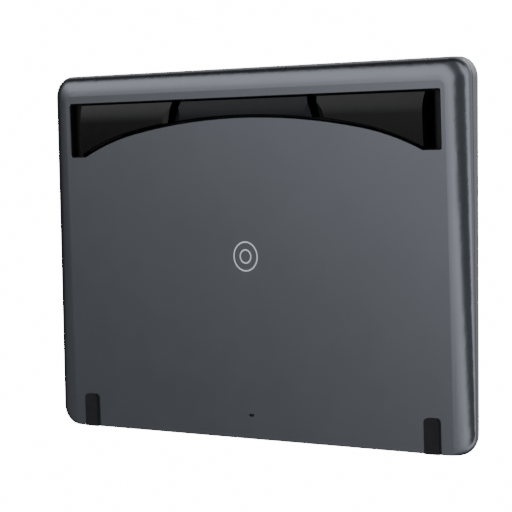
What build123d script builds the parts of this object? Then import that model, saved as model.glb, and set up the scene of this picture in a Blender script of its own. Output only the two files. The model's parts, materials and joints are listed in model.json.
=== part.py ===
from build123d import *
import math
import os

# Pen display tablet, lying face up on its rubber feet.
# +X is right and +Y is up as the user sees the screen, +Z points out of the screen.
# The origin is under the middle of the outline, on the surface the feet stand on.

# ---------------------------------------------------------------- driving dimensions (mm)
WIDTH = 400.4
HEIGHT = 290.4
CORNER_R = 16.0
CORNER_SHRINK = 0.62      # how fast that radius shrinks as the soft edge curves in
FOOT_PROUD = 2.6          # the back lies this far above the table
THICK_TOP = 20.5          # body thickness at the top edge
THICK_BOTTOM = 8.5        # and at the bottom edge
SEAM_TOP = 11.3           # depth of the rear cover at the top edge
SEAM_BOTTOM = 3.9         # and at the bottom edge
SOFT_EDGE = 17.0          # how far the cover's soft edge reaches in from the outline
SOFT_STEPS = 8            # sections that shape the soft edge
WALL = 1.8
GROOVE = 0.5              # shadow line between the cover and the front frame

RIM = 2.4                 # width of the front frame's rim
RIM_CHAMFER = 1.0
FRAME_WALL = 2.2
GAP = 0.9                 # gasket between the rim and the glass
GLASS_SET = 0.3           # the glass lies this far below the rim
GLASS_T = 1.1
FLANGE_IN = 12.0          # the frame's flange reaches this far in from the outline
FLANGE_TOP = 1.6
FLANGE_T = 1.8
CHIN = 25.0               # height of the wrist rest
CHIN_DROP = 1.8           # how far its lower edge falls away
CHIN_SEAM = 0.7
CHIN_DEEP = 3.6

ACTIVE_W = 344.7
ACTIVE_H = 215.4
BEZEL_TOP = 31.4
PANEL_EDGE = 3.0          # dead border of the panel round the picture

RECESS_W = 358.4          # stand recess in the back
RECESS_TOP = 23.3         # below the tablet's top edge
RECESS_LOW = 66.9         # its ends reach down to here
ARCH_PEAK = 38.8          # and its middle to here
ARCH_R = 585.0            # radius of the arch's shallow middle
ARCH_JOINT = 110.0        # which ends here, where a tighter arc takes over
ARCH_HALF = 163.5         # half of the whole arch's chord
TRAY_WALL = 1.4
TRAY_DEEP = 9.9

PIN_R = 1.5
BORE_R = 1.55
KNUCKLE_R = 5.6
PIN_BELOW = 6.4           # pin axis below the recess's top edge
PIN_DEEP = 3.6            # and this deep in the back
BELLY = 0.15              # the legs' and the bridge's flat outer face above the table
ROLL_FROM = 4.9           # that face starts here above the pin, where the knuckle's round ends
FLAT_FROM = 9.5           # and is flat from here below the pin
LEG_GAP = 2.2             # between the legs and the arch
WELL_DEEP = 7.2           # depth of the finger wells at the recess's ends
WELL_FROM = 171.8
LUG_R = 2.6
LUG_NECK = 3.0
LUG_W = 4.0
LUG_X = (88.0, 152.0)
WASHER_T = 0.5
WASHER_SLACK = 0.2

FOOT_X = 165.5
FOOT_W = 12.6
FOOT_L = 26.8
FOOT_SINK = 0.9

SLOT_W = 4.8              # small slot in the back near the bottom edge
SLOT_H = 2.2

BUTTON_X = -164.0
BUTTON_W = 14.0
BUTTON_H = 3.4
BUTTON_SLACK = 0.3
SOCKET_X = (-144.0, -128.0)
LIGHT_X = -154.0
PORT_Z = FOOT_PROUD + 14.5

# ---------------------------------------------------------------- worked out from them
TOP_Y = HEIGHT / 2
BOTTOM_Y = -HEIGHT / 2
SEAM_Y = BOTTOM_Y + CHIN                       # line between the glass and the wrist rest
ACTIVE_Y = TOP_Y - BEZEL_TOP - ACTIVE_H / 2
BACK_Z = FOOT_PROUD
SLOT_Y = BOTTOM_Y + 18.8
ARCH_Y = TOP_Y - ARCH_PEAK - ARCH_R            # centre of the arch, far below the tablet
JOINT_Y = ARCH_Y + math.sqrt(ARCH_R ** 2 - ARCH_JOINT ** 2)
END_DX = ARCH_HALF - ARCH_JOINT
END_DY = TOP_Y - RECESS_LOW - JOINT_Y
END_R = -(END_DX ** 2 + END_DY ** 2) * ARCH_R / (2 * (END_DX * ARCH_JOINT + END_DY * (JOINT_Y - ARCH_Y)))
END_X = ARCH_JOINT * (1 - END_R / ARCH_R)      # centre of each end arc
END_Y = JOINT_Y - (JOINT_Y - ARCH_Y) * END_R / ARCH_R
RECESS_H = RECESS_LOW - RECESS_TOP
RECESS_Y = TOP_Y - (RECESS_TOP + RECESS_LOW) / 2
PIN_Y = TOP_Y - RECESS_TOP - PIN_BELOW
PIN_Z = BACK_Z + PIN_DEEP
TRAY_FLOOR = BACK_Z + TRAY_DEEP
SLOPE = (THICK_TOP - THICK_BOTTOM) / HEIGHT

os.makedirs("parts", exist_ok=True)


def save(piece, name):
    """Label one finished piece and write it as its own STEP file."""
    piece.part.label = name
    export_step(piece.part, "parts/" + name + ".step")


def slanted(low, high):
    """The plane that lies low above the back at the bottom edge and high at the top edge."""
    tilt = math.atan2(high - low, HEIGHT)
    middle = BACK_Z + (low + high) / 2
    return Plane(origin=(0, 0, middle), x_dir=(1, 0, 0), z_dir=(0, -math.sin(tilt), math.cos(tilt)))


def front(depth):
    """The plane that lies depth below the front face and parallel to it."""
    return slanted(THICK_BOTTOM, THICK_TOP).offset(-depth)


def front_z(y, depth=0.0):
    """Height of that plane at y."""
    return BACK_Z + THICK_BOTTOM + SLOPE * (y - BOTTOM_Y) - depth


def outline(inset, mode=Mode.ADD):
    """The tablet's rounded outline, drawn in by inset all round."""
    RectangleRounded(WIDTH - 2 * inset, HEIGHT - 2 * inset, CORNER_R - inset, mode=mode)


def soft_pan(wall):
    """Sections of the rear cover's outer form, or with a wall of its cavity: the sides and the
    top curve in to the flat back over the soft edge, and the bottom edge stays straight."""
    sections = []
    for step in range(SOFT_STEPS + 1):
        turn = math.pi / 2 * step / SOFT_STEPS
        inset = wall + (SOFT_EDGE - wall) * (1 - math.cos(turn))
        share = 1 - math.sin(turn)
        low = wall + (SEAM_BOTTOM - wall) * share
        high = wall + (SEAM_TOP - wall) * share
        corner = CORNER_R - wall - CORNER_SHRINK * (inset - wall)
        with BuildSketch(slanted(low, high)) as section:
            with Locations((0, (wall - inset) / 2)):
                RectangleRounded(WIDTH - 2 * inset, HEIGHT - inset - wall, corner)
        sections.append(section.sketch)
    return sections


def arch_area(rise):
    """Plan of what lies under the arch line when that line is raised by rise."""
    with BuildSketch() as area:
        with Locations((0, ARCH_Y)):
            Circle(ARCH_R + rise)
        far = 1.2
        corner_x = ARCH_JOINT * far
        corner_y = ARCH_Y + (JOINT_Y - ARCH_Y) * far
        Polygon((0, ARCH_Y), (corner_x, corner_y), (-corner_x, corner_y), align=None, mode=Mode.INTERSECT)
        with Locations((-END_X, END_Y), (END_X, END_Y)):
            Circle(END_R + rise)
    return area.sketch


def recess_shape(grow):
    """Plan of the stand recess, grown by a margin: a long rectangle with an arch cut out below."""
    with Locations((0, RECESS_Y)):
        RectangleRounded(RECESS_W + 2 * grow, RECESS_H + 2 * grow, 1.2 + max(grow, 0))
    add(arch_area(-grow), mode=Mode.SUBTRACT)


def chin_cut(extra):
    """Cut away what stands above the wrist rest's falling curve, lowered by extra."""
    end_y = BOTTOM_Y - 2.0
    start = (SEAM_Y, front_z(SEAM_Y, extra))
    end = (end_y, front_z(end_y, extra + CHIN_DROP))
    with BuildSketch(Plane.YZ) as above:
        with BuildLine():
            TangentArc(start, end, tangent=(-1, -SLOPE))
            Polyline(end, (end_y, THICK_TOP * 2), (SEAM_Y, THICK_TOP * 2), start)
        make_face()
    extrude(above.sketch, amount=WIDTH, both=True, mode=Mode.SUBTRACT)


def disc(x, y, z, radius, height, mode=Mode.ADD):
    """An upright round post, or with Mode.SUBTRACT a hole, standing at (x, y, z)."""
    with BuildSketch(Plane.XY.offset(z)) as circle:
        with Locations((x, y)):
            Circle(radius)
    extrude(circle.sketch, amount=height, mode=mode)


def block(x, y, z, width, length, height, mode=Mode.ADD):
    """An upright block centred on (x, y), standing at z."""
    with BuildSketch(Plane.XY.offset(z)) as rectangle:
        with Locations((x, y)):
            Rectangle(width, length)
    extrude(rectangle.sketch, amount=height, mode=mode)


def pan_screws(points, head_r, head_t, shank_r):
    """Pan-head screws, head up, with a cross in the head.
    Each point is (x, y, seat height, shank length)."""
    for x, y, seat, length in points:
        disc(x, y, seat, head_r, head_t)
        disc(x, y, seat - length, shank_r, length)
        block(x, y, seat + head_t - 0.4, head_r * 1.1, 0.4, 1.0, Mode.SUBTRACT)
        block(x, y, seat + head_t - 0.4, 0.4, head_r * 1.1, 1.0, Mode.SUBTRACT)


# ---------------------------------------------------------------- screw positions
FRAME_SCREWS = [(side * (WIDTH / 2 - 5.8), y) for side in (-1, 1) for y in (-90.0, -10.0, 60.0)]
FRAME_SCREWS += [(x, TOP_Y - 5.8) for x in (-60.0, 20.0, 100.0, 165.0)]
EARS = [(x, TOP_Y - RECESS_TOP + TRAY_WALL + 3.0, 1) for x in (-100.0, 0.0, 100.0)]
EARS += [(side * 171.5, TOP_Y - RECESS_LOW - TRAY_WALL - 3.0, -1) for side in (-1, 1)]
EARS += [(0.0, TOP_Y - ARCH_PEAK - TRAY_WALL - 3.0, -1)]
POST_FOOT = BACK_Z + WALL - 0.4              # posts root this deep in the back wall
POST_FLOOR = BACK_Z + WALL + 2.0             # the frame screws' holes end above the soft edge
EAR_Z = BACK_Z + WALL + 2.2
EAR_T = 1.4
MAIN_BOARD = (-40.0, 5.0, 180.0, 90.0)          # centre x, centre y, width, height
MAIN_Z = BACK_Z + WALL + 2.4
PORT_BOARD = (-148.0, 135.0, 70.0, 13.0)
PORT_BOARD_Z = PORT_Z - 1.6 - 1.0
BOARD_T = 1.0
BOARD_SCREWS = [(MAIN_BOARD[0] + a, MAIN_BOARD[1] + b, MAIN_Z) for a in (-85.0, 85.0) for b in (-40.0, 40.0)]
BOARD_SCREWS += [(-179.5, 131.5, PORT_BOARD_Z), (-117.0, 138.5, PORT_BOARD_Z)]
BRIDGE_SCREWS = [(-40.0, PIN_Y - 3.0), (40.0, PIN_Y - 3.0)]
CHIN_PADS = [(-150.0, -132.0), (-50.0, -132.0), (50.0, -132.0), (150.0, -132.0)]
TRAY_TOP = TRAY_FLOOR + TRAY_WALL


# ---------------------------------------------------------------- rear cover
with BuildPart() as cavity:
    loft(soft_pan(WALL))

# everything inside the middle of the cover's wall, with room above the seam for the posts
with BuildPart() as inner_form:
    loft(soft_pan(WALL / 2))
    with BuildSketch(slanted(SEAM_BOTTOM, SEAM_TOP)):
        outline(RIM)
    extrude(amount=THICK_TOP)

# posts for the frame screws, the stand tray and the boards, trimmed by that form
with BuildPart() as posts:
    for x, y in FRAME_SCREWS:
        top = front_z(y, FLANGE_TOP + FLANGE_T + 0.2)
        disc(x, y, BACK_Z, 3.0, top - BACK_Z)
        hole = max(top - 8.0, POST_FLOOR)
        disc(x, y, hole, 0.95, top - hole + 1.0, Mode.SUBTRACT)
    for x, y, top in [(x, y, EAR_Z) for x, y, side in EARS] + BOARD_SCREWS:
        disc(x, y, POST_FOOT, 2.4, top - POST_FOOT)
        disc(x, y, POST_FOOT + 0.2, 0.95, top - POST_FOOT, Mode.SUBTRACT)
    for x, y in CHIN_PADS:
        block(x, y, POST_FOOT, 12.0, 6.0, front_z(y - 3.0, CHIN_DEEP + 0.1) - POST_FOOT)
    add(inner_form.part, mode=Mode.INTERSECT)

with BuildPart() as rear_cover:
    loft(soft_pan(0.0))
    add(cavity.part, mode=Mode.SUBTRACT)
    add(posts.part)
    # stiffening ribs across the middle of the back
    for y in (-85.0, -60.0):
        block(0, y, POST_FOOT, 300.0, 1.2, 1.8)
    # opening over the stand
    with BuildSketch(Plane.XY.offset(BACK_Z - 1)):
        recess_shape(0.0)
    extrude(amount=WALL + 2, mode=Mode.SUBTRACT)
    # seats for the foot strips, wrapping the bottom edge
    for side in (-1, 1):
        with BuildSketch(Plane.XY.offset(BACK_Z)):
            with Locations((side * FOOT_X, BOTTOM_Y + FOOT_L / 2)):
                RectangleRounded(FOOT_W, FOOT_L, 3.0)
            with Locations((side * FOOT_X, BOTTOM_Y + FOOT_L / 4)):
                Rectangle(FOOT_W, FOOT_L / 2)
        extrude(amount=FOOT_SINK, mode=Mode.SUBTRACT)
        wrap_y = BOTTOM_Y + FOOT_SINK / 2
        block(side * FOOT_X, wrap_y, BACK_Z, FOOT_W, FOOT_SINK, SEAM_BOTTOM - 0.8, Mode.SUBTRACT)
    # small oval slot near the bottom edge
    with BuildSketch(Plane.XY.offset(BACK_Z - 1)):
        with Locations((0, SLOT_Y)):
            SlotOverall(SLOT_W, SLOT_H)
    extrude(amount=WALL + 2, mode=Mode.SUBTRACT)
    # thin bright edge round the stand opening
    opening = rear_cover.edges().group_by(Axis.Z)[0].filter_by(
        lambda edge: edge.center().Y > TOP_Y - RECESS_LOW - 3 and abs(edge.center().X) < RECESS_W / 2 + 1
        and edge.center().Y < TOP_Y - RECESS_TOP + 1)
    chamfer(opening, 0.5)
save(rear_cover, "rear_cover")


# ---------------------------------------------------------------- front frame
with BuildPart() as front_frame:
    with BuildSketch(Plane.XY.offset(BACK_Z)):
        outline(0.0)
    extrude(amount=THICK_TOP + 5)
    split(bisect_by=front(0.0), keep=Keep.BOTTOM)
    chin_cut(0.0)
    split(bisect_by=slanted(SEAM_BOTTOM + GROOVE, SEAM_TOP + GROOVE), keep=Keep.TOP)
    top_edges = front_frame.edges().filter_by(
        lambda edge: abs(edge.center().Z - front_z(edge.center().Y)) < CHIN_DROP + 0.6
        and (abs(edge.center().X) > WIDTH / 2 - CORNER_R or abs(edge.center().Y) > HEIGHT / 2 - CORNER_R)
        and edge.center().Z > slanted(SEAM_BOTTOM + GROOVE, SEAM_TOP + GROOVE).origin.Z
        + (SEAM_TOP - SEAM_BOTTOM) / HEIGHT * edge.center().Y + 0.5)
    chamfer(top_edges, RIM_CHAMFER)
    # tongue that stands on the rear cover, set back to leave the shadow line
    with BuildSketch(slanted(SEAM_BOTTOM, SEAM_TOP)):
        outline(1.2)
    extrude(amount=GROOVE + 0.3)
    # pocket for the glass
    with BuildSketch(front(FLANGE_TOP)):
        outline(RIM)
    extrude(amount=10, mode=Mode.SUBTRACT)
    # hollow below the flange
    with BuildSketch(front(FLANGE_TOP + FLANGE_T)):
        outline(FRAME_WALL)
    extrude(amount=-30, mode=Mode.SUBTRACT)
    # opening for the panel, and the one for the wrist rest
    with BuildSketch(front(0.0)):
        with Locations((0, (SEAM_Y + 8.0 + TOP_Y - FLANGE_IN) / 2)):
            Rectangle(WIDTH - 2 * FLANGE_IN, TOP_Y - FLANGE_IN - SEAM_Y - 8.0)
    extrude(amount=20, both=True, mode=Mode.SUBTRACT)
    with BuildSketch(front(0.0)):
        outline(RIM)
        with Locations((0, SEAM_Y - CHIN_SEAM / 2 + HEIGHT / 2)):
            Rectangle(WIDTH, HEIGHT, mode=Mode.SUBTRACT)
    extrude(amount=20, both=True, mode=Mode.SUBTRACT)
    # screw seats in the flange
    for x, y in FRAME_SCREWS:
        disc(x, y, front_z(y, FLANGE_TOP + 0.95), 2.1, 5.0, Mode.SUBTRACT)
        disc(x, y, BACK_Z, 1.1, 30.0, Mode.SUBTRACT)
    # openings in the top wall: two sockets, the power button and the status light
    with BuildSketch(Plane.XZ.offset(-TOP_Y - 1)):
        with Locations(*[(x, PORT_Z) for x in SOCKET_X]):
            SlotOverall(9.6, 3.9)
        with Locations((BUTTON_X, PORT_Z)):
            SlotOverall(BUTTON_W, BUTTON_H)
        with Locations((LIGHT_X, PORT_Z)):
            Circle(0.8)
    extrude(amount=FRAME_WALL + 2, mode=Mode.SUBTRACT)
save(front_frame, "front_frame")


# ---------------------------------------------------------------- wrist rest, glass and gasket
with BuildPart() as wrist_rest:
    with BuildSketch(front(0.0)):
        outline(RIM + GAP)
        with Locations((0, SEAM_Y - CHIN_SEAM / 2 + HEIGHT / 2)):
            Rectangle(WIDTH, HEIGHT, mode=Mode.SUBTRACT)
    extrude(amount=-CHIN_DEEP)
    chin_cut(GLASS_SET)
save(wrist_rest, "wrist_rest")

with BuildPart() as cover_glass:
    with BuildSketch(front(GLASS_SET)):
        outline(RIM + GAP)
        with Locations((0, SEAM_Y + CHIN_SEAM / 2 - HEIGHT / 2)):
            Rectangle(WIDTH, HEIGHT, mode=Mode.SUBTRACT)
    extrude(amount=-GLASS_T)
save(cover_glass, "cover_glass")

GASKET_TOP = 0.8
with BuildPart() as glass_gasket:
    with BuildSketch(front(GASKET_TOP)):
        outline(RIM)
        outline(RIM + GAP, Mode.SUBTRACT)
        with Locations((0, SEAM_Y)):
            Rectangle(WIDTH - 2 * RIM - GAP, CHIN_SEAM)
    extrude(amount=GASKET_TOP - FLANGE_TOP)
    with BuildSketch(front(FLANGE_TOP)):
        outline(RIM)
        outline(RIM + GAP, Mode.SUBTRACT)
        with Locations((0, SEAM_Y - CHIN_SEAM / 2 + HEIGHT / 2)):
            Rectangle(WIDTH, HEIGHT, mode=Mode.SUBTRACT)
    extrude(amount=FLANGE_TOP - CHIN_DEEP)
    chin_cut(GASKET_TOP)
save(glass_gasket, "glass_gasket")


# ---------------------------------------------------------------- the display, layer by layer
def layer(depth, width, height, thick, y=ACTIVE_Y, x=0.0, mode=Mode.ADD):
    """A flat sheet parallel to the front face, its upper side depth below it."""
    with BuildSketch(front(depth)) as sheet:
        with Locations((x, y)):
            RectangleRounded(width, height, min(1.0, width * 0.3))
    extrude(sheet.sketch, amount=-thick, mode=mode)


PANEL_W = ACTIVE_W + 2 * PANEL_EDGE
PANEL_H = ACTIVE_H + 2 * PANEL_EDGE
CHASSIS_WALL = 0.6

with BuildPart() as lcd_panel:
    layer(1.5, PANEL_W, PANEL_H, 1.2)
save(lcd_panel, "lcd_panel")

with BuildPart() as light_guide:
    layer(2.8, PANEL_W, PANEL_H - 4.0, 1.0, ACTIVE_Y + 2.0)
save(light_guide, "light_guide")

with BuildPart() as led_strip:
    layer(2.9, PANEL_W - 8.0, 3.0, 0.8, ACTIVE_Y - PANEL_H / 2 + 1.7)
save(led_strip, "led_strip")

with BuildPart() as panel_chassis:
    layer(1.7, PANEL_W + 2 * CHASSIS_WALL + 0.4, PANEL_H + 2 * CHASSIS_WALL + 0.4, 2.8)
    layer(1.0, PANEL_W + 0.4, PANEL_H + 0.4, 2.9, mode=Mode.SUBTRACT)
save(panel_chassis, "panel_chassis")

with BuildPart() as digitizer_board:
    layer(4.6, PANEL_W, PANEL_H, 0.6)
save(digitizer_board, "digitizer_board")

with BuildPart() as shield_plate:
    layer(5.3, PANEL_W - 12.0, PANEL_H - 2.0, 0.3)
save(shield_plate, "shield_plate")

with BuildPart() as panel_brackets:
    for side in (-1, 1):
        for y in (-50.0, 25.0, 95.0):
            layer(3.5, 15.0, 10.0, 0.6, y, side * 184.2)
            layer(3.5, 1.0, 10.0, 1.0, y, side * 177.2)
save(panel_brackets, "panel_brackets")

with BuildPart() as timing_board:
    layer(6.2, 120.0, 12.0, 0.8, -92.0)
save(timing_board, "timing_board")


# ---------------------------------------------------------------- boards
with BuildPart() as main_board:
    block(MAIN_BOARD[0], MAIN_BOARD[1], MAIN_Z, MAIN_BOARD[2], MAIN_BOARD[3], BOARD_T)
    fillet(main_board.edges().filter_by(Axis.Z), 3.0)
    for x, y, z in BOARD_SCREWS[:4]:
        disc(x, y, z, 1.1, BOARD_T, Mode.SUBTRACT)
save(main_board, "main_board")

CHIPS = [(-95.0, 20.0, 14.0, 14.0), (-60.0, 15.0, 18.0, 18.0), (-30.0, 20.0, 12.0, 9.0),
         (-60.0, -15.0, 10.0, 13.0), (-5.0, -5.0, 16.0, 16.0), (20.0, 25.0, 8.0, 8.0)]
with BuildPart() as processor_chips:
    for x, y, width, length in CHIPS:
        block(x, y, MAIN_Z + BOARD_T, width, length, 0.9)
save(processor_chips, "processor_chips")

with BuildPart() as heat_spreader:
    block(-50.0, 5.0, MAIN_Z + BOARD_T + 1.0, 60.0, 60.0, 0.4)
    fillet(heat_spreader.edges().filter_by(Axis.Z), 4.0)
save(heat_spreader, "heat_spreader")

with BuildPart() as port_board:
    block(PORT_BOARD[0], PORT_BOARD[1], PORT_BOARD_Z, PORT_BOARD[2], PORT_BOARD[3], BOARD_T)
    for x, y, z in BOARD_SCREWS[4:]:
        disc(x, y, z, 1.1, BOARD_T, Mode.SUBTRACT)
save(port_board, "port_board")

SOCKET_L = 7.3
SOCKET_MOUTH = TOP_Y - 0.5
with BuildPart() as usb_sockets:
    with BuildSketch(Plane.XZ.offset(-SOCKET_MOUTH)):
        with Locations(*[(x, PORT_Z) for x in SOCKET_X]):
            SlotOverall(8.9, 3.2)
    extrude(amount=SOCKET_L)
    with BuildSketch(Plane.XZ.offset(-SOCKET_MOUTH)):
        with Locations(*[(x, PORT_Z) for x in SOCKET_X]):
            SlotOverall(8.3, 2.6)
            Rectangle(6.7, 0.7, mode=Mode.SUBTRACT)
    extrude(amount=SOCKET_L - 1.0, mode=Mode.SUBTRACT)
save(usb_sockets, "usb_sockets")

with BuildPart() as power_switch:
    block(BUTTON_X, TOP_Y - 7.3, PORT_BOARD_Z + BOARD_T, 6.0, 3.6, 2.8)
save(power_switch, "power_switch")

with BuildPart() as power_button:
    with BuildSketch(Plane.XZ.offset(-TOP_Y + 0.1)):
        with Locations((BUTTON_X, PORT_Z)):
            SlotOverall(BUTTON_W - 2 * BUTTON_SLACK, BUTTON_H - 2 * BUTTON_SLACK)
    extrude(amount=FRAME_WALL + 0.4)
    fillet(power_button.faces().sort_by(Axis.Y)[-1].edges(), 0.3)
    with BuildSketch(Plane.XZ.offset(-TOP_Y + FRAME_WALL + 0.4)):
        with Locations((BUTTON_X, PORT_Z)):
            Rectangle(BUTTON_W + 1.4, 3.0)
    extrude(amount=0.8)
    with BuildSketch(Plane.XZ.offset(-TOP_Y + FRAME_WALL + 1.0)):
        with Locations((BUTTON_X, PORT_Z)):
            Rectangle(3.0, 2.0)
    extrude(amount=1.6)
save(power_button, "power_button")

with BuildPart() as status_light:
    with BuildSketch(Plane.XZ.offset(-TOP_Y + 0.05)):
        with Locations((LIGHT_X, PORT_Z)):
            Circle(0.75)
    extrude(amount=5.5)
save(status_light, "status_light")


# ---------------------------------------------------------------- flat ribbons
RIBBON_T = 0.2


def ribbon(points, plane, width):
    """A flat ribbon: its upper line in the plane, and its width across it."""
    lower = [(a, b - RIBBON_T) for a, b in reversed(points)]
    with BuildSketch(plane) as section:
        with BuildLine():
            Polyline(*points, *lower, close=True)
        make_face()
    extrude(section.sketch, amount=width / 2, both=True)


BOARD_TOP = MAIN_Z + BOARD_T
with BuildPart() as display_ribbon:
    low = BACK_Z + 5.0
    run = [(-90.0, low), (-84.0, low), (-48.0, BOARD_TOP + 0.3), (-36.0, BOARD_TOP + 0.3)]
    ribbon(run, Plane.YZ.offset(20.0), 22.0)
save(display_ribbon, "display_ribbon")

with BuildPart() as digitizer_ribbon:
    under = front_z(0.0, 5.4)
    run = [(-175.0, under), (-171.0, under), (-163.0, under - 2.5), (-134.0, BOARD_TOP + 0.3),
           (-120.0, BOARD_TOP + 0.3)]
    ribbon(run, Plane.XZ.offset(-6.0), 10.0)
save(digitizer_ribbon, "digitizer_ribbon")

with BuildPart() as port_ribbon:
    high = PORT_BOARD_Z + BOARD_T + 0.3
    run = [(132.0, high), (127.5, high), (124.5, TRAY_TOP + 0.4),
           (72.0, TRAY_TOP + 0.4), (52.0, BOARD_TOP + 0.3), (44.0, BOARD_TOP + 0.3)]
    ribbon(run, Plane.YZ.offset(-118.0), 8.0)
save(port_ribbon, "port_ribbon")


# ---------------------------------------------------------------- stand tray
def upright(x, thick, mode=Mode.ADD):
    """Stand a lug profile across the pin, thick along X and centred on x."""
    with BuildSketch(Plane.YZ.offset(x)) as profile:
        with Locations((PIN_Y, PIN_Z)):
            Circle(LUG_R)
            with Locations((0, (TRAY_FLOOR - PIN_Z) / 2 + 0.2)):
                Rectangle(LUG_NECK, TRAY_FLOOR - PIN_Z + 0.4)
            Circle(PIN_R, mode=Mode.SUBTRACT)
    extrude(profile.sketch, amount=thick / 2, both=True, mode=mode)


with BuildPart() as stand_tray:
    with BuildSketch(Plane.XY.offset(BACK_Z + WALL)):
        recess_shape(TRAY_WALL)
    extrude(amount=TRAY_TOP - BACK_Z - WALL)
    with BuildSketch(Plane.XY.offset(BACK_Z)):
        recess_shape(0.0)
    extrude(amount=TRAY_DEEP, mode=Mode.SUBTRACT)
    # raised floor of the finger wells
    for side in (-1, 1):
        middle = (WELL_FROM + RECESS_W / 2 + 0.4) / 2
        width = RECESS_W / 2 + 0.4 - WELL_FROM
        block(side * middle, RECESS_Y, BACK_Z + WELL_DEEP, width, RECESS_H + 0.8, TRAY_DEEP - WELL_DEEP + 0.2)
    for x, y, side in EARS:
        block(x, y, EAR_Z, 9.0, 7.4, EAR_T)
        disc(x, y, EAR_Z, 1.1, EAR_T, Mode.SUBTRACT)
    for x, y in BRIDGE_SCREWS:
        disc(x, y, TRAY_FLOOR, 1.1, TRAY_WALL, Mode.SUBTRACT)
    for side in (-1, 1):
        for x in LUG_X:
            upright(side * x, LUG_W)
save(stand_tray, "stand_tray")

# section of the legs and the bridge: a knuckle round the pin rolls over into the flat outer face
ROLL_START = (PIN_Y + ROLL_FROM, PIN_Z - math.sqrt(KNUCKLE_R ** 2 - ROLL_FROM ** 2))
FLAT_START = (PIN_Y - FLAT_FROM, BELLY)


def end_bevel(x, slope, y, width, drop):
    """Bevel the outer face along an end that stands at x for this y and leans by slope."""
    tip = math.hypot(1.0, slope)
    line = Plane(origin=(x, y, 0), x_dir=(1 / tip, -slope / tip, 0), z_dir=(-slope / tip, -1 / tip, 0))
    with BuildSketch(line) as wedge:
        away = 2.0 if width < 0 else -2.0
        Polygon((away, BELLY + drop * (1 + 2.0 / abs(width))), (2 * width, BELLY - drop), (2 * width, -9.0),
                (away, -9.0), align=None)
    extrude(wedge.sketch, amount=30.0, both=True, mode=Mode.SUBTRACT)


BRIDGE_HALF = 64.9        # half-width of the bridge at GAP_Y, and how fast its ends spread
BRIDGE_SPREAD = 0.36
GAP_Y = 110.0
BRIDGE_SKIN = 2.4
BEVEL_W = 4.5
BEVEL_DROP = 1.5
with BuildPart() as centre_bridge:
    with BuildSketch(Plane.YZ):
        with BuildLine():
            high = (PIN_Y, TRAY_FLOOR)
            end = (PIN_Y - 24.0, BELLY + 0.3)
            ThreePointArc(high, (PIN_Y + KNUCKLE_R, PIN_Z + 1.5), ROLL_START)
            TangentArc(FLAT_START, ROLL_START, tangent=(1, 0))
            Polyline(FLAT_START, end, (end[0], TRAY_FLOOR), high)
        make_face()
    extrude(amount=80.0, both=True)
    with BuildSketch(Plane.XY):
        top_half = BRIDGE_HALF - BRIDGE_SPREAD * 15.0
        low_half = BRIDGE_HALF + BRIDGE_SPREAD * 15.0
        Polygon((-top_half, GAP_Y + 15), (top_half, GAP_Y + 15), (low_half, GAP_Y - 15),
                (-low_half, GAP_Y - 15), align=None)
        add(arch_area(LEG_GAP), mode=Mode.SUBTRACT)
    extrude(amount=TRAY_FLOOR, mode=Mode.INTERSECT)
    end_bevel(-BRIDGE_HALF, BRIDGE_SPREAD, GAP_Y, BEVEL_W, BEVEL_DROP)
    end_bevel(BRIDGE_HALF, -BRIDGE_SPREAD, GAP_Y, -BEVEL_W, BEVEL_DROP)
    # hollow from behind, leaving two screw posts
    with BuildSketch(Plane.XY.offset(PIN_Z - KNUCKLE_R + BRIDGE_SKIN)):
        with Locations((0, PIN_Y - 4.0)):
            Rectangle(2 * BRIDGE_HALF - 16.0, 10.0)
        with Locations(*BRIDGE_SCREWS):
            Circle(2.6, mode=Mode.SUBTRACT)
    extrude(amount=TRAY_FLOOR, mode=Mode.SUBTRACT)
    for x, y in BRIDGE_SCREWS:
        disc(x, y, TRAY_FLOOR - 6.0, 0.95, 6.0, Mode.SUBTRACT)
save(centre_bridge, "centre_bridge")


# ---------------------------------------------------------------- legs, tips, pins and washers
def save_pair(piece, name):
    """Write a right-hand piece, and its mirror image as the left-hand one."""
    save(piece, name + "_right")
    with BuildPart() as twin:
        mirror(piece.part, about=Plane.YZ)
    save(twin, name + "_left")


LEG_IN = 72.6             # inner end at GAP_Y, leaning like the bridge's end
LEG_LEAN = 0.23
LEG_OUT = 168.6           # outer end at the recess's floor, leaning in to the outer face
LEG_OUT_FACE = 165.3
LEG_REACH = 40.0          # from the pin to the leg's far corner, before it meets the arch line
LEG_THICK = 2 * KNUCKLE_R - 0.5
LEG_SKIN = 2.4
SCOOP_L = 27.0            # finger scoop in the outer end
SCOOP_W = 5.6
SCOOP_DEEP = 3.0
POCKET_FROM = 79.5
POCKET_TO = 160.5
FREE_WALL = 4.0           # wall along the free edge
TIP_FROM = 124.0          # rubber tip let into the free edge
TIP_TO = 158.0
TIP_IN = 1.8
TIP_PROUD = 0.4
TIP_LOW = BACK_Z - 0.6
TIP_HIGH = BACK_Z + 4.6

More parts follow.
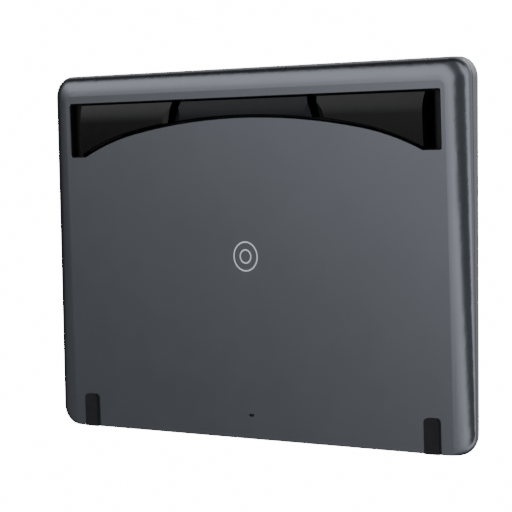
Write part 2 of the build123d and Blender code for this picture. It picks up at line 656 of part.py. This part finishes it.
with BuildPart() as leg:
    with BuildSketch(Plane.YZ.offset(LEG_IN - 6.0)):
        with BuildLine():
            high = (PIN_Y, PIN_Z + KNUCKLE_R)
            edge = (PIN_Y - LEG_REACH, BELLY + 0.7)
            ThreePointArc(high, (PIN_Y + KNUCKLE_R, PIN_Z), ROLL_START)
            TangentArc(FLAT_START, ROLL_START, tangent=(1, 0))
            TangentArc(FLAT_START, edge, tangent=(-1, 0))
            Polyline(edge, (edge[0], PIN_Z - KNUCKLE_R + LEG_THICK), high)
        make_face()
    extrude(amount=LEG_OUT - LEG_IN + 6.0)
    with BuildSketch(Plane.XY.offset(-1.0)):
        add(arch_area(LEG_GAP))
        Polygon((LEG_IN - 20, GAP_Y - 60), (LEG_IN + 60 * LEG_LEAN, GAP_Y - 60),
                (LEG_IN - 20 * LEG_LEAN, GAP_Y + 20), (LEG_IN - 20, GAP_Y + 20), align=None)
    extrude(amount=20.0, mode=Mode.SUBTRACT)
    free = leg.edges().filter_by(
        lambda edge: edge.center().Z < BELLY + 0.8 and edge.length > 20 and abs(edge.tangent_at(0.5).Y) < 0.6
        and edge.center().Y < FLAT_START[0] - 1)
    fillet(free, 0.8)
    end_bevel(LEG_IN, -LEG_LEAN, GAP_Y, BEVEL_W, BEVEL_DROP)
    with BuildSketch(Plane.XZ):
        lean = (LEG_OUT - LEG_OUT_FACE) / (TRAY_FLOOR - BELLY)
        Polygon((LEG_OUT_FACE - lean * 2, BELLY - 2), (LEG_OUT + lean * 2, TRAY_FLOOR + 2),
                (LEG_OUT + 9, TRAY_FLOOR + 2), (LEG_OUT + 9, BELLY - 2), align=None)
    extrude(amount=200.0, both=True, mode=Mode.SUBTRACT)
    # finger scoop in the outer end
    with BuildSketch(Plane.YZ.offset((LEG_OUT + LEG_OUT_FACE) / 2 - SCOOP_DEEP)):
        with Locations((PIN_Y - 16.5, PIN_Z - 0.4)):
            SlotOverall(SCOOP_L, SCOOP_W)
    extrude(amount=20.0, mode=Mode.SUBTRACT)
    # ribbed pockets in the hidden face
    cells = 4
    cell_w = (POCKET_TO - POCKET_FROM) / cells
    for index in range(cells):
        with BuildSketch(Plane.XY.offset(BELLY + LEG_SKIN)):
            with Locations((POCKET_FROM + cell_w * (index + 0.5), PIN_Y - 6.0 - LEG_REACH / 2)):
                Rectangle(cell_w - 1.6, LEG_REACH)
            add(arch_area(LEG_GAP + FREE_WALL), mode=Mode.SUBTRACT)
        extrude(amount=20, mode=Mode.SUBTRACT)
    # slots for the tray's lugs, open towards the inside and the top
    slot_w = LUG_W + 2 * WASHER_T + 2 * WASHER_SLACK
    for x in LUG_X:
        with BuildSketch(Plane.YZ.offset(x)):
            with Locations((PIN_Y, PIN_Z)):
                Circle(LUG_R + 0.5)
            with Locations((PIN_Y + 2.0, PIN_Z + 3.4)):
                Rectangle(10.2, 11.2)
        extrude(amount=slot_w / 2, both=True, mode=Mode.SUBTRACT)
    with BuildSketch(Plane.YZ.offset(LEG_IN - 8.0)):
        with Locations((PIN_Y, PIN_Z)):
            Circle(BORE_R)
    extrude(amount=LUG_X[1] + 8.6 - LEG_IN + 8.0, mode=Mode.SUBTRACT)


def tip_plan(proud):
    """Plan of the rubber tip along the leg's free edge, standing proud of it."""
    with Locations(((TIP_FROM + TIP_TO) / 2, PIN_Y - LEG_REACH / 2)):
        Rectangle(TIP_TO - TIP_FROM, LEG_REACH)
    add(arch_area(LEG_GAP + TIP_IN), mode=Mode.INTERSECT)
    add(arch_area(LEG_GAP - proud), mode=Mode.SUBTRACT)


with BuildPart() as leg_cut:
    add(leg.part)
    with BuildSketch(Plane.XY.offset(TIP_LOW)):
        tip_plan(2.0)
    extrude(amount=TIP_HIGH - TIP_LOW, mode=Mode.SUBTRACT)
save_pair(leg_cut, "leg")

with BuildPart() as leg_tip:
    with BuildSketch(Plane.XY.offset(TIP_LOW)):
        tip_plan(TIP_PROUD)
    extrude(amount=TIP_HIGH - TIP_LOW)
save_pair(leg_tip, "leg_tip")

with BuildPart() as hinge_pin:
    with BuildSketch(Plane.YZ.offset(LUG_X[0] - 8.0)):
        with Locations((PIN_Y, PIN_Z)):
            Circle(PIN_R)
    extrude(amount=LUG_X[1] - LUG_X[0] + 16.0)
save_pair(hinge_pin, "hinge_pin")

with BuildPart() as hinge_washers:
    for side in (-1, 1):
        for x in LUG_X:
            for face in (-1, 1):
                middle = side * x + face * (LUG_W + WASHER_T) / 2
                with BuildSketch(Plane.YZ.offset(middle)):
                    with Locations((PIN_Y, PIN_Z)):
                        Circle(LUG_R)
                        Circle(PIN_R, mode=Mode.SUBTRACT)
                extrude(amount=WASHER_T / 2, both=True)
save(hinge_washers, "hinge_washers")


# ---------------------------------------------------------------- feet, slot plug and screws
with BuildPart() as foot_strip:
    with BuildSketch(Plane.XY):
        with Locations((FOOT_X, BOTTOM_Y + FOOT_L / 2)):
            RectangleRounded(FOOT_W, FOOT_L, 3.0)
        with Locations((FOOT_X, BOTTOM_Y + FOOT_L / 4)):
            Rectangle(FOOT_W, FOOT_L / 2)
    extrude(amount=BACK_Z + FOOT_SINK)
    block(FOOT_X, BOTTOM_Y + FOOT_SINK / 2, 0.0, FOOT_W, FOOT_SINK, BACK_Z + SEAM_BOTTOM - 0.8)
    fillet(foot_strip.edges().group_by(Axis.Z)[0], 0.6)
save_pair(foot_strip, "foot_strip")

with BuildPart() as slot_plug:
    with BuildSketch(Plane.XY.offset(BACK_Z + 0.8)):
        with Locations((0, SLOT_Y)):
            SlotOverall(SLOT_W, SLOT_H)
    extrude(amount=WALL - 0.8)
    with BuildSketch(Plane.XY.offset(BACK_Z + WALL)):
        with Locations((0, SLOT_Y)):
            SlotOverall(SLOT_W + 4.0, SLOT_H + 3.0)
    extrude(amount=0.8)
save(slot_plug, "slot_plug")

with BuildPart() as frame_screws:
    seats = [(x, y, front_z(y, FLANGE_TOP + 0.95)) for x, y in FRAME_SCREWS]
    pan_screws([(x, y, seat, min(7.5, seat - POST_FLOOR - 0.5)) for x, y, seat in seats], 1.9, 0.8, 0.85)
save(frame_screws, "frame_screws")

with BuildPart() as tray_screws:
    ear_points = [(x, y, EAR_Z + EAR_T, 3.2) for x, y, side in EARS]
    bridge_points = [(x, y, TRAY_TOP, 6.0) for x, y in BRIDGE_SCREWS]
    pan_screws(ear_points + bridge_points, 1.9, 0.8, 0.85)
save(tray_screws, "tray_screws")

with BuildPart() as board_screws:
    pan_screws([(x, y, z + BOARD_T, 3.2) for x, y, z in BOARD_SCREWS], 1.8, 0.7, 0.85)
save(board_screws, "board_screws")
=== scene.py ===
import json
import math

import bmesh
import bpy
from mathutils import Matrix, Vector


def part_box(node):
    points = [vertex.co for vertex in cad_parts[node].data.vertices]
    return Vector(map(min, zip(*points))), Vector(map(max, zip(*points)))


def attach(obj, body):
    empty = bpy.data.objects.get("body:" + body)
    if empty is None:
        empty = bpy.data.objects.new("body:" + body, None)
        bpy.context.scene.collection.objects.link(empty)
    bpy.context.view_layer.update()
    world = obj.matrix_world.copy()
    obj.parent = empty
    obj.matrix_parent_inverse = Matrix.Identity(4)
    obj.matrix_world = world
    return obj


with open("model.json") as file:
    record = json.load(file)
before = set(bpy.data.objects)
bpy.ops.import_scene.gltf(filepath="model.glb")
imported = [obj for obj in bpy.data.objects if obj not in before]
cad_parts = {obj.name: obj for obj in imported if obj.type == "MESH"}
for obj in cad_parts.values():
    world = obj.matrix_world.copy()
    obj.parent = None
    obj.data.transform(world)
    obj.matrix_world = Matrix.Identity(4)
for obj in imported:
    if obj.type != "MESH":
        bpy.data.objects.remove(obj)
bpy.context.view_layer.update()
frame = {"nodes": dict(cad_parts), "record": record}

NODES = frame["nodes"]

# ------------------------------------------------------------------ camera
# The view is of the tablet's back, from the side of its left edge and nearly square to it. So the
# camera is under the face-up tablet, with the tablet's top edge upwards in the picture.
CAMERA_AT = Vector((-0.934, 0.098, -1.2306))
CAMERA_AIM = Vector((-0.0024, -0.002, 0.0114))
CAMERA_UP = Vector((0.031, 0.995, 0.094))
LENS = 140.0


def make_camera():
    data = bpy.data.cameras.new("camera")
    data.lens = LENS
    data.clip_start = 0.01
    data.clip_end = 50.0
    camera = bpy.data.objects.new("camera", data)
    bpy.context.scene.collection.objects.link(camera)
    back = (CAMERA_AT - CAMERA_AIM).normalized()
    right = CAMERA_UP.cross(back).normalized()
    up = back.cross(right)
    matrix = camera.matrix_world.to_3x3()
    for row in range(3):
        matrix[row] = (right[row], up[row], back[row])
    camera.matrix_world = matrix.to_4x4()
    camera.location = CAMERA_AT
    bpy.context.scene.camera = camera


make_camera()


# ------------------------------------------------------------------ node helpers
def material(name):
    """A new node material. Returns it with its tree and its Principled shader."""
    made = bpy.data.materials.new(name)
    made.use_nodes = True
    tree = made.node_tree
    return made, tree, tree.nodes["Principled BSDF"]


def node(tree, kind, inputs=(), **settings):
    """One shader node with its settings and its input values or links."""
    made = tree.nodes.new(kind)
    for key, value in settings.items():
        setattr(made, key, value)
    for key, value in dict(inputs).items():
        if isinstance(value, bpy.types.NodeSocket):
            tree.links.new(value, made.inputs[key])
        else:
            made.inputs[key].default_value = value
    return made


def place(tree):
    """Position in the row frame: the objects sit at the origin, so object space is that frame."""
    return node(tree, "ShaderNodeTexCoord").outputs["Object"]


def noise(tree, scale, detail=3.0, stretch=None, rough=0.5):
    where = place(tree)
    if stretch:
        where = node(tree, "ShaderNodeMapping", {"Vector": where, "Scale": stretch}).outputs["Vector"]
    made = node(tree, "ShaderNodeTexNoise",
                {"Vector": where, "Scale": scale, "Detail": detail, "Roughness": rough})
    return made.outputs["Fac"]


def remap(tree, value, low, high, to_low, to_high, smooth=False):
    kind = "SMOOTHSTEP" if smooth else "LINEAR"
    made = node(tree, "ShaderNodeMapRange", {"Value": value, "From Min": low, "From Max": high,
                                             "To Min": to_low, "To Max": to_high}, interpolation_type=kind)
    return made.outputs["Result"]


def mix(tree, factor, first, second):
    """Blend of two colours, each an (r, g, b) or a socket."""
    made = node(tree, "ShaderNodeMix", data_type="RGBA")
    tree.links.new(factor, made.inputs["Factor"])
    for key, value in ((6, first), (7, second)):
        if isinstance(value, bpy.types.NodeSocket):
            tree.links.new(value, made.inputs[key])
        else:
            made.inputs[key].default_value = (*value, 1.0)
    return made.outputs[2]


def math_node(tree, operation, first, second=0.0):
    return node(tree, "ShaderNodeMath", {0: first, 1: second}, operation=operation).outputs[0]


def bump(tree, shader, height, strength, distance):
    made = node(tree, "ShaderNodeBump", {"Height": height, "Strength": strength, "Distance": distance})
    tree.links.new(made.outputs["Normal"], shader.inputs["Normal"])


def link(tree, value, shader, name):
    tree.links.new(value, shader.inputs[name])


def shades(colour, amount):
    """Two versions of a colour, a little darker and a little lighter."""
    return tuple(c * (1 - amount) for c in colour), tuple(c * (1 + amount) for c in colour)


# ------------------------------------------------------------------ materials
def blasted_metal(name, colour, metallic, rough):
    """Fine bead-blasted, anodised metal with faint handling marks."""
    made, tree, shader = material(name)
    dark, light = shades(colour, 0.05)
    cloud = noise(tree, 14.0, 4.0)
    link(tree, mix(tree, cloud, dark, light), shader, "Base Color")
    fine = noise(tree, 5200.0, 2.0)
    wear = noise(tree, 42.0, 5.0, rough=0.55)
    roughness = math_node(tree, "ADD", remap(tree, fine, 0.3, 0.7, -0.02, 0.02),
                          remap(tree, wear, 0.25, 0.80, rough - 0.012, rough + 0.014))
    link(tree, roughness, shader, "Roughness")
    shader.inputs["Metallic"].default_value = metallic
    bump(tree, shader, fine, 0.25, 0.00002)
    return made


def moulded(name, colour, rough, grain_scale=2600.0, grain=0.35, gloss=0.5):
    """Spark-textured moulded plastic."""
    made, tree, shader = material(name)
    shader.inputs["Specular IOR Level"].default_value = gloss
    dark, light = shades(colour, 0.12)
    link(tree, mix(tree, noise(tree, 30.0, 5.0), dark, light), shader, "Base Color")
    grains = noise(tree, grain_scale, 2.0)
    worn = noise(tree, 90.0, 5.0)
    link(tree, remap(tree, worn, 0.3, 0.7, rough - 0.05, rough + 0.05), shader, "Roughness")
    bump(tree, shader, grains, grain, 0.00003)
    return made


def rubber(name, colour):
    made, tree, shader = material(name)
    dark, light = shades(colour, 0.2)
    link(tree, mix(tree, noise(tree, 900.0, 3.0), dark, light), shader, "Base Color")
    link(tree, remap(tree, noise(tree, 120.0, 4.0), 0.3, 0.7, 0.62, 0.78), shader, "Roughness")
    bump(tree, shader, noise(tree, 3200.0, 2.0), 0.5, 0.00004)
    shader.inputs["Specular IOR Level"].default_value = 0.2
    return made


def rim_metal(name, colour, cut):
    """Satin frame whose cut chamfer, the faces that lean out between side and front, is brighter."""
    made, tree, shader = material(name)
    normal = node(tree, "ShaderNodeTexCoord").outputs["Normal"]
    lean = node(tree, "ShaderNodeSeparateXYZ", {"Vector": normal}).outputs["Z"]
    up = remap(tree, lean, 0.45, 0.58, 0.0, 1.0)
    flat = remap(tree, lean, 0.85, 0.95, 1.0, 0.0)
    chamfer = math_node(tree, "MULTIPLY", up, flat)
    dark, light = shades(colour, 0.06)
    base = mix(tree, noise(tree, 40.0, 4.0), dark, light)
    link(tree, mix(tree, chamfer, base, cut), shader, "Base Color")
    link(tree, remap(tree, chamfer, 0.0, 1.0, 0.40, 0.20), shader, "Roughness")
    shader.inputs["Metallic"].default_value = 0.65
    bump(tree, shader, noise(tree, 4200.0, 2.0), 0.15, 0.00002)
    return made


def stamped(name, colour, rough, metallic=1.0):
    made, tree, shader = material(name)
    dark, light = shades(colour, 0.08)
    streak = noise(tree, 160.0, 4.0, stretch=(0.05, 1.0, 1.0))
    link(tree, mix(tree, streak, dark, light), shader, "Base Color")
    link(tree, remap(tree, streak, 0.3, 0.7, rough - 0.06, rough + 0.08), shader, "Roughness")
    shader.inputs["Metallic"].default_value = metallic
    bump(tree, shader, streak, 0.1, 0.00003)
    return made


def circuit_board(name, colour):
    made, tree, shader = material(name)
    cells = node(tree, "ShaderNodeTexVoronoi", {"Vector": place(tree), "Scale": 420.0})
    tracks = remap(tree, cells.outputs["Distance"], 0.30, 0.36, 0.0, 1.0)
    link(tree, mix(tree, tracks, colour, tuple(c * 1.7 for c in colour)), shader, "Base Color")
    link(tree, remap(tree, noise(tree, 200.0), 0.3, 0.7, 0.32, 0.45), shader, "Roughness")
    bump(tree, shader, tracks, 0.3, 0.00003)
    return made


# the picture area inside the glass, from the panel behind it
PANEL_LOW, PANEL_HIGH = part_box("lcd_panel")
PANEL_BORDER = 0.003
PICTURE_SOFT = 0.0006    # half the width of the picture area's soft edge
BORDER_BLACK = (0.0085, 0.0083, 0.0096)
PICTURE_BLACK = (0.0052, 0.0050, 0.0064)


def screen_glass(name):
    """Etched black glass: a printed black border, the slightly different picture area inside
    it with a soft edge, fine anti-glare grain and faint smears."""
    made, tree, shader = material(name)
    where = node(tree, "ShaderNodeSeparateXYZ", {"Vector": place(tree)})
    centre = (PANEL_LOW + PANEL_HIGH) / 2
    half = (PANEL_HIGH - PANEL_LOW) / 2 - Vector((PANEL_BORDER, PANEL_BORDER, 0))
    across = math_node(tree, "ABSOLUTE", math_node(tree, "SUBTRACT", where.outputs["X"], centre.x))
    along = math_node(tree, "ABSOLUTE", math_node(tree, "SUBTRACT", where.outputs["Y"], centre.y))
    inside_x = remap(tree, across, half.x - PICTURE_SOFT, half.x + PICTURE_SOFT, 1.0, 0.0, True)
    inside_y = remap(tree, along, half.y - PICTURE_SOFT, half.y + PICTURE_SOFT, 1.0, 0.0, True)
    inside = math_node(tree, "MULTIPLY", inside_x, inside_y)
    link(tree, mix(tree, inside, BORDER_BLACK, PICTURE_BLACK), shader, "Base Color")
    smear = noise(tree, 9.0, 5.0, stretch=(1.0, 2.2, 1.0), rough=0.6)
    etched = noise(tree, 6500.0, 1.0)
    roughness = math_node(tree, "ADD", remap(tree, smear, 0.40, 0.70, 0.27, 0.33),
                          remap(tree, inside, 0.0, 1.0, 0.0, -0.02))
    link(tree, roughness, shader, "Roughness")
    shader.inputs["IOR"].default_value = 1.5
    shader.inputs["Specular IOR Level"].default_value = 0.16
    bump(tree, shader, etched, 0.12, 0.00001)
    return made


def milky(name, colour):
    made, tree, shader = material(name)
    dark, light = shades(colour, 0.05)
    link(tree, mix(tree, noise(tree, 300.0), dark, light), shader, "Base Color")
    link(tree, remap(tree, noise(tree, 80.0), 0.3, 0.7, 0.25, 0.4), shader, "Roughness")
    shader.inputs["Subsurface Weight"].default_value = 0.1
    return made


def ribbon_film(name, colour):
    made, tree, shader = material(name)
    wave = node(tree, "ShaderNodeTexWave", {"Vector": place(tree), "Scale": 260.0, "Distortion": 0.0})
    lines = wave.outputs["Fac"]
    link(tree, mix(tree, lines, colour, tuple(c * 1.5 for c in colour)), shader, "Base Color")
    link(tree, remap(tree, lines, 0.0, 1.0, 0.3, 0.42), shader, "Roughness")
    return made


MATERIALS = {
    "cover_paint": blasted_metal("cover_paint", (0.112, 0.120, 0.136), 0.92, 0.24),
    "frame_metal": rim_metal("frame_metal", (0.085, 0.089, 0.097), (0.52, 0.53, 0.55)),
    "wrist_plastic": moulded("wrist_plastic", (0.014, 0.014, 0.016), 0.42, gloss=0.35),
    "screen_glass": screen_glass("screen_glass"),
    "gasket_rubber": rubber("gasket_rubber", (0.006, 0.006, 0.008)),
    "panel_glass": stamped("panel_glass", (0.02, 0.02, 0.024), 0.2, 0.0),
    "diffuser": milky("diffuser", (0.80, 0.82, 0.83)),
    "board": circuit_board("board", (0.02, 0.10, 0.055)),
    "stamped_steel": stamped("stamped_steel", (0.55, 0.56, 0.58), 0.36),
    "chip_plastic": moulded("chip_plastic", (0.018, 0.018, 0.019), 0.5),
    "spreader": stamped("spreader", (0.60, 0.60, 0.62), 0.4),
    "socket_metal": stamped("socket_metal", (0.42, 0.43, 0.45), 0.3),
    "ribbon": ribbon_film("ribbon", (0.36, 0.17, 0.04)),
    "tray_plastic": moulded("tray_plastic", (0.003, 0.003, 0.0035), 0.5, gloss=0.2),
    "bridge_plastic": moulded("bridge_plastic", (0.0012, 0.0018, 0.0042), 0.24, 3400.0, 0.10, gloss=0.12),
    "leg_plastic": moulded("leg_plastic", (0.0009, 0.0010, 0.0014), 0.20, 3400.0, 0.08, gloss=0.165),
    "rubber_tip": rubber("rubber_tip", (0.006, 0.006, 0.007)),
    "pin_steel": stamped("pin_steel", (0.60, 0.60, 0.61), 0.25),
    "rubber_foot": rubber("rubber_foot", (0.006, 0.0065, 0.008)),
    "screw_steel": stamped("screw_steel", (0.20, 0.20, 0.21), 0.35),
}

for row in frame["record"]["subparts"]:
    mesh = NODES[row["node"]].data
    mesh.materials.clear()
    mesh.materials.append(MATERIALS[row["material_slot"]])


# ------------------------------------------------------------------ generic marks
PRINT_SUNK = 0.00002     # how far a print's underside lies below the surface
PRINT_ROUGH = 0.35
RING_STEPS = 96


def circle(radius):
    """The points of a circle about the origin, as (x, y) pairs."""
    turns = [math.tau * k / RING_STEPS for k in range(RING_STEPS)]
    return [(radius * math.cos(turn), radius * math.sin(turn)) for turn in turns]


def print_mark(name, at, turn_x, rings, proud, colour):
    """A plain printed mark of flat rings, each an (inner, outer) pair of radii, which stands proud
    of the surface at a point and is turned to face out."""
    bm = bmesh.new()
    for radii in rings:
        loops = [circle(radius) for radius in radii]
        corners = []
        for height in (-PRINT_SUNK, proud):
            corners.append([[bm.verts.new((x, y, height)) for x, y in loop] for loop in loops])
        for k in range(RING_STEPS):
            n = (k + 1) % RING_STEPS
            for inside, outside in corners:
                bm.faces.new((inside[k], outside[k], outside[n], inside[n]))
            for below, above in zip(*corners):
                bm.faces.new((below[k], below[n], above[n], above[k]))
    bmesh.ops.recalc_face_normals(bm, faces=bm.faces)
    mesh = bpy.data.meshes.new(name)
    bm.to_mesh(mesh)
    bm.free()
    mark = bpy.data.objects.new(name, mesh)
    bpy.context.scene.collection.objects.link(mark)
    mark.location = at
    mark.rotation_euler = (turn_x, 0.0, 0.0)
    made, tree, shader = material(name)
    dark, light = shades(colour, 0.08)
    link(tree, mix(tree, noise(tree, 900.0, 3.0), dark, light), shader, "Base Color")
    even = remap(tree, noise(tree, 400.0), 0.3, 0.7, PRINT_ROUGH - 0.04, PRINT_ROUGH + 0.04)
    link(tree, even, shader, "Roughness")
    bump(tree, shader, noise(tree, 4000.0), 0.1, 0.00001)
    mesh.materials.append(made)
    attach(mark, "body")


BACK_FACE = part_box("rear_cover")[0][2]
BACK_MARK = (0.0012, -0.0018, BACK_FACE)
BACK_RINGS = ((0.0107, 0.0118), (0.0046, 0.0057))
print_mark("mark_back", BACK_MARK, turn_x=math.pi, rings=BACK_RINGS, proud=0.00004,
           colour=(0.55, 0.57, 0.60))

# the front mark lies on the glass's slope, a little up from its lower edge
GLASS = [v.co for v in NODES["cover_glass"].data.vertices]
GLASS_LOW = min(v.y for v in GLASS)
LOW_EDGE = 0.0005        # points this near the lower edge belong to it
LOW_Z = max(v.z for v in GLASS if v.y < GLASS_LOW + LOW_EDGE)
HIGH_Y, HIGH_Z = max(((v.y, v.z) for v in GLASS), key=lambda pair: pair[1])
GLASS_SLOPE = (HIGH_Z - LOW_Z) / (HIGH_Y - GLASS_LOW)
MARK_UP = 0.010
FRONT_MARK = (0.0, GLASS_LOW + MARK_UP, LOW_Z + GLASS_SLOPE * MARK_UP)
FRONT_RINGS = ((0.0036, 0.0042), (0.0014, 0.0019))
print_mark("mark_front", FRONT_MARK, turn_x=math.atan(GLASS_SLOPE), rings=FRONT_RINGS, proud=0.00003,
           colour=(0.50, 0.51, 0.54))


# ------------------------------------------------------------------ floor, light and world
FLOOR_HALF = 6.0


def make_floor():
    """A pale floor that is only there from above, so the picture from below sees through it."""
    corners = [(-FLOOR_HALF, -FLOOR_HALF, 0), (FLOOR_HALF, -FLOOR_HALF, 0),
               (FLOOR_HALF, FLOOR_HALF, 0), (-FLOOR_HALF, FLOOR_HALF, 0)]
    mesh = bpy.data.meshes.new("floor")
    mesh.from_pydata(corners, [], [(0, 1, 2, 3)])
    floor = bpy.data.objects.new("floor", mesh)
    bpy.context.scene.collection.objects.link(floor)
    made, tree, shader = material("floor")
    link(tree, mix(tree, noise(tree, 4.0), (0.78, 0.78, 0.78), (0.82, 0.82, 0.82)), shader, "Base Color")
    shader.inputs["Roughness"].default_value = 0.7
    output = tree.nodes["Material Output"]
    behind = node(tree, "ShaderNodeNewGeometry").outputs["Backfacing"]
    clear = node(tree, "ShaderNodeBsdfTransparent").outputs["BSDF"]
    both = node(tree, "ShaderNodeMixShader", {0: behind})
    tree.links.new(shader.outputs["BSDF"], both.inputs[1])
    tree.links.new(clear, both.inputs[2])
    tree.links.new(both.outputs[0], output.inputs["Surface"])
    mesh.materials.append(made)
    floor.visible_shadow = False
    floor.visible_diffuse = False
    floor.visible_glossy = False


def area_light(name, at, aim, size, power):
    data = bpy.data.lights.new(name, "AREA")
    data.shape = "RECTANGLE"
    data.size, data.size_y = size
    data.energy = power
    light = bpy.data.objects.new(name, data)
    light.location = at
    light.rotation_mode = "QUATERNION"
    light.rotation_quaternion = (Vector(aim) - Vector(at)).to_track_quat("-Z", "Y")
    light.visible_camera = False
    bpy.context.scene.collection.objects.link(light)


# The world's light by direction, as seen from the tablet
SLANT = (-0.70, 0.68)                    # x and y of the side towards which the light grows
GAP_MIDDLE = (-0.50, 0.0, -0.866)        # middle of the dark gap, on the camera's side
BAND_NORMAL = (0.794, -0.399, -0.459)    # square to the dark band from the gap to the top edge
BELOW_DIM, BELOW_BRIGHT = 0.275, 2.42    # the strengths of the lower half
ABOVE_DIM, ABOVE_BRIGHT = 0.40, 1.20     # and of the upper half
GAP_LEFT, BAND_LEFT = 0.10, 0.14         # the share of the light left in the gap and in the band
LEVEL_LEFT = 0.04                        # and level with the tablet, away from its left edge
BACKDROP = 16.0                          # what the camera sees where nothing is in the way


def aimed(tree, direction, towards):
    """How far a direction points along a fixed one, from 1 along it to -1 against it."""
    made = node(tree, "ShaderNodeVectorMath", {0: direction, 1: towards}, operation="DOT_PRODUCT")
    return made.outputs["Value"]


def switch(tree, factor, first, second):
    """One number or another by a factor. The second may be a plain value."""
    made = node(tree, "ShaderNodeMix", data_type="FLOAT")
    tree.links.new(factor, made.inputs["Factor"])
    tree.links.new(first, made.inputs[2])
    if isinstance(second, bpy.types.NodeSocket):
        tree.links.new(second, made.inputs[3])
    else:
        made.inputs[3].default_value = second
    return made.outputs[0]


def make_world():
    """Soft light from all round that grows towards one side, with a dark gap where the camera
    stands and a darker band from there. The camera itself sees an even white."""
    world = bpy.data.worlds.new("studio")
    world.use_nodes = True
    tree = world.node_tree
    background = tree.nodes["Background"]
    direction = node(tree, "ShaderNodeTexCoord").outputs["Generated"]
    split = node(tree, "ShaderNodeSeparateXYZ", {"Vector": direction})
    across, along, height = (split.outputs[axis] for axis in "XYZ")
    toward = math_node(tree, "ADD", math_node(tree, "MULTIPLY", across, SLANT[0]),
                       math_node(tree, "MULTIPLY", along, SLANT[1]))

    below = remap(tree, toward, -0.56, -0.14, BELOW_DIM, BELOW_BRIGHT, True)
    gap = remap(tree, aimed(tree, direction, GAP_MIDDLE), 0.82, 0.925, 1.0, GAP_LEFT, True)
    off_band = math_node(tree, "ABSOLUTE", aimed(tree, direction, BAND_NORMAL))
    band = remap(tree, off_band, 0.20, 0.42, BAND_LEFT, 1.0, True)
    band = math_node(tree, "MAXIMUM", band, remap(tree, along, 0.05, 0.30, 1.0, 0.0, True))
    below = math_node(tree, "MULTIPLY", below, math_node(tree, "MINIMUM", gap, band))

    above = remap(tree, toward, -0.70, 0.40, ABOVE_DIM, ABOVE_BRIGHT, True)
    upper = remap(tree, height, -0.05, 0.05, 0.0, 1.0)
    steep = remap(tree, math_node(tree, "ABSOLUTE", height), 0.14, 0.38, LEVEL_LEFT, 1.0, True)
    left = remap(tree, across, -0.75, -0.45, 1.0, 0.0, True)
    light = math_node(tree, "MULTIPLY", switch(tree, upper, below, above),
                      math_node(tree, "MAXIMUM", steep, left))

    seen = node(tree, "ShaderNodeLightPath").outputs["Is Camera Ray"]
    tree.links.new(switch(tree, seen, light, BACKDROP), background.inputs["Strength"])
    background.inputs["Color"].default_value = (1.0, 1.0, 1.0, 1.0)
    bpy.context.scene.world = world


make_floor()
make_world()
area_light("key_above", at=(-0.5, 0.9, 1.5), aim=(0, 0, 0), size=(1.4, 1.4), power=12.0)
